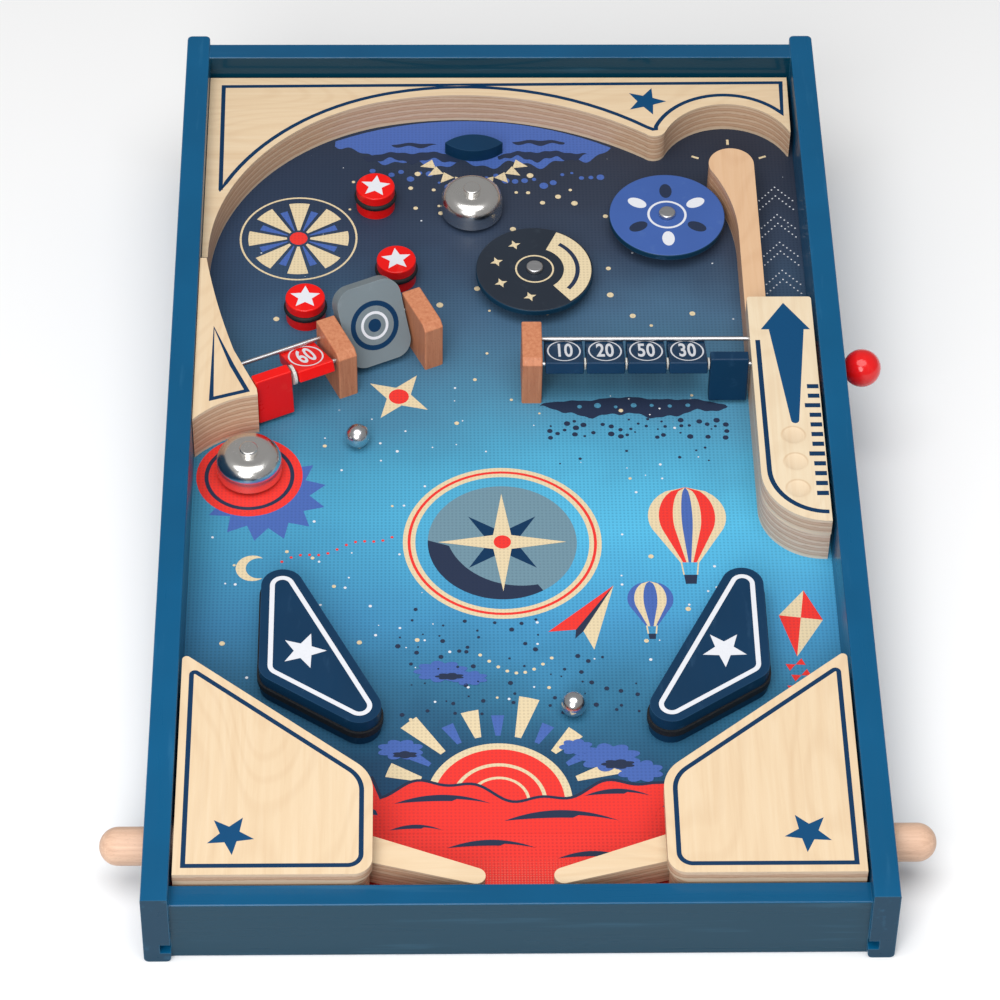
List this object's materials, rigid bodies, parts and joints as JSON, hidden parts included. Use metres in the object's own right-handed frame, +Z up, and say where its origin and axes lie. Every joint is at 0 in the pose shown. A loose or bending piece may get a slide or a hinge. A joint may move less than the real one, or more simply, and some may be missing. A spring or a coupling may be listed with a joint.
{
  "type": "bagatelle board game",
  "caption": "Tabletop wooden bagatelle: sloping case, printed field, plunger launcher, push-dowel flippers, score tiles, bells, bumpers, spinning discs and rolling balls.",
  "frame": {"origin": "middle of the case on the table", "axes": "+X to the player's right, +Y away from the player along the case, +Z up; the field slopes up 5.5 degrees towards +Y"},
  "size_m": [0.375, 0.56, 0.0949],
  "materials": {
    "blue_paint": "gloss blue paint on wood",
    "field_print": "satin printed board",
    "plywood": "clear satin plywood",
    "navy_paint": "satin navy paint on wood",
    "red_paint": "gloss red paint on wood",
    "grey_paint": "satin grey-blue paint on wood",
    "beech": "clear satin beech",
    "disc_board": "satin printed wood",
    "black_rubber": "matt",
    "elastic": "natural rubber",
    "chrome": "polished",
    "steel": "bright",
    "white_plastic": "matt"
  },
  "bodies": {
    "case": {"side_rail_left": "blue_paint", "side_rail_right": "blue_paint", "front_rail": "blue_paint", "back_rail": "blue_paint", "playfield_panel": "field_print", "top_arch": "plywood", "left_guide": "plywood", "lane_divider": "plywood", "launcher_cover": "plywood", "corner_cover_left": "plywood", "corner_cover_right": "plywood", "corner_spacer_left": "plywood", "corner_spacer_right": "plywood", "flipper_pins": "steel", "flipper_washers": "white_plastic", "dowel_spring_left": "steel", "dowel_spring_right": "steel", "launcher_elastic": "elastic", "elastic_anchor": "steel", "slingshot_left": "navy_paint", "slingshot_right": "navy_paint", "slingshot_bands": "black_rubber", "bumper_back": "red_paint", "bumper_middle": "red_paint", "bumper_front": "red_paint", "bumper_rings": "black_rubber", "bell_back": "chrome", "bell_front": "chrome", "bell_posts": "steel", "bell_screws": "chrome", "spinner_bushes": "black_rubber", "spinner_pins": "steel", "lens_block": "navy_paint", "right_bar_post": "beech", "left_bar_post_outer": "beech", "left_bar_post_inner": "beech", "right_pivot_rod": "steel", "right_stop_rod": "steel", "left_pivot_rod": "steel", "left_stop_rod": "steel", "tile_washers": "white_plastic"},
    "dowel_left": {"push_dowel_left": "beech"},
    "dowel_right": {"push_dowel_right": "beech"},
    "flipper_arm_left": {"flipper_left": "plywood"},
    "flipper_arm_right": {"flipper_right": "plywood"},
    "launcher": {"launcher_slider": "beech", "launcher_pin": "steel", "launcher_knob": "red_paint"},
    "disc_right": {"spinner_disc_right": "disc_board"},
    "disc_centre": {"spinner_disc_centre": "disc_board"},
    "target": {"swing_target": "grey_paint"},
    "upper_ball": {"ball_upper": "chrome"},
    "lower_ball": {"ball_lower": "chrome"},
    "tile_10": {"score_tile_10": "navy_paint"},
    "tile_20": {"score_tile_20": "navy_paint"},
    "tile_50": {"score_tile_50": "navy_paint"},
    "tile_30": {"score_tile_30": "navy_paint"},
    "tile_end": {"score_tile_end": "navy_paint"},
    "tile_60": {"score_tile_60": "red_paint"},
    "tile_red": {"score_tile_red": "red_paint"}
  },
  "joints": [
    {"name": "dowel_left_push", "type": "slide", "parent": "case", "child": "dowel_left", "axis": [1, 0, 0], "range_m": [0, 0.0072], "stiffness_N_per_m": 300, "springref_m": -0.004, "deforming": ["dowel_spring_left"]},
    {"name": "flipper_left_turn", "type": "hinge", "parent": "case", "child": "flipper_arm_left", "pos_m": [-0.095, -0.22254, 0.02645], "axis": [0, -0.096, 0.9954], "range_deg": [0, 38]},
    {"name": "dowel_right_push", "type": "slide", "parent": "case", "child": "dowel_right", "axis": [-1, 0, 0], "range_m": [0, 0.0072], "stiffness_N_per_m": 300, "springref_m": -0.004, "deforming": ["dowel_spring_right"]},
    {"name": "flipper_right_turn", "type": "hinge", "parent": "case", "child": "flipper_arm_right", "pos_m": [0.095, -0.22254, 0.02645], "axis": [0, -0.096, 0.9954], "range_deg": [-38, 0]},
    {"name": "launcher_pull", "type": "slide", "parent": "case", "child": "launcher", "axis": [0, -0.9954, -0.096], "range_m": [0, 0.08], "stiffness_N_per_m": 60, "springref_m": -0.012, "deforming": ["launcher_elastic"]},
    {"name": "disc_right_spin", "type": "hinge", "parent": "case", "child": "disc_right", "pos_m": [0.0848, 0.16526, 0.06284], "axis": [0, -0.096, 0.9954], "continuous": true},
    {"name": "disc_centre_spin", "type": "hinge", "parent": "case", "child": "disc_centre", "pos_m": [0.0153, 0.12604, 0.05906], "axis": [0, -0.096, 0.9954], "continuous": true},
    {"name": "tile_10_flip", "type": "hinge", "parent": "case", "child": "tile_10", "pos_m": [0.028, 0.04608, 0.06621], "axis": [1, 0, 0], "range_deg": [-74, 0]},
    {"name": "tile_20_flip", "type": "hinge", "parent": "case", "child": "tile_20", "pos_m": [0.0484, 0.04608, 0.06621], "axis": [1, 0, 0], "range_deg": [-74, 0]},
    {"name": "tile_50_flip", "type": "hinge", "parent": "case", "child": "tile_50", "pos_m": [0.0688, 0.04608, 0.06621], "axis": [1, 0, 0], "range_deg": [-74, 0]},
    {"name": "tile_30_flip", "type": "hinge", "parent": "case", "child": "tile_30", "pos_m": [0.0892, 0.04608, 0.06621], "axis": [1, 0, 0], "range_deg": [-74, 0]},
    {"name": "tile_end_flip", "type": "hinge", "parent": "case", "child": "tile_end", "pos_m": [0.1096, 0.04608, 0.06621], "axis": [1, 0, 0], "range_deg": [0, 74]},
    {"name": "tile_red_flip", "type": "hinge", "parent": "case", "child": "tile_red", "pos_m": [-0.1162, 0.03464, 0.06511], "axis": [0.9078, 0.4175, 0.0403], "range_deg": [0, 73.4]},
    {"name": "tile_60_flip", "type": "hinge", "parent": "case", "child": "tile_60", "pos_m": [-0.09623, 0.04382, 0.066], "axis": [0.9078, 0.4175, 0.0403], "range_deg": [-73.4, 0]},
    {"name": "target_swing", "type": "hinge", "parent": "case", "child": "target", "pos_m": [-0.06768, 0.07882, 0.06656], "axis": [0.9078, 0.4175, 0.0403], "range_deg": [-60, 0]},
    {"name": "upper_ball_roll", "type": "slide", "parent": "case", "child": "upper_ball", "axis": [0, 0.9954, 0.096], "range_m": [-0.12, 0.02]},
    {"name": "lower_ball_roll", "type": "slide", "parent": "case", "child": "lower_ball", "axis": [0, 0.9954, 0.096], "range_m": [-0.035, 0.15]}
  ],
  "couplings": [
    {"joint": "flipper_left_turn", "follows": "dowel_left_push", "rad_per_m": 92.115},
    {"joint": "flipper_right_turn", "follows": "dowel_right_push", "rad_per_m": -92.115}
  ]
}
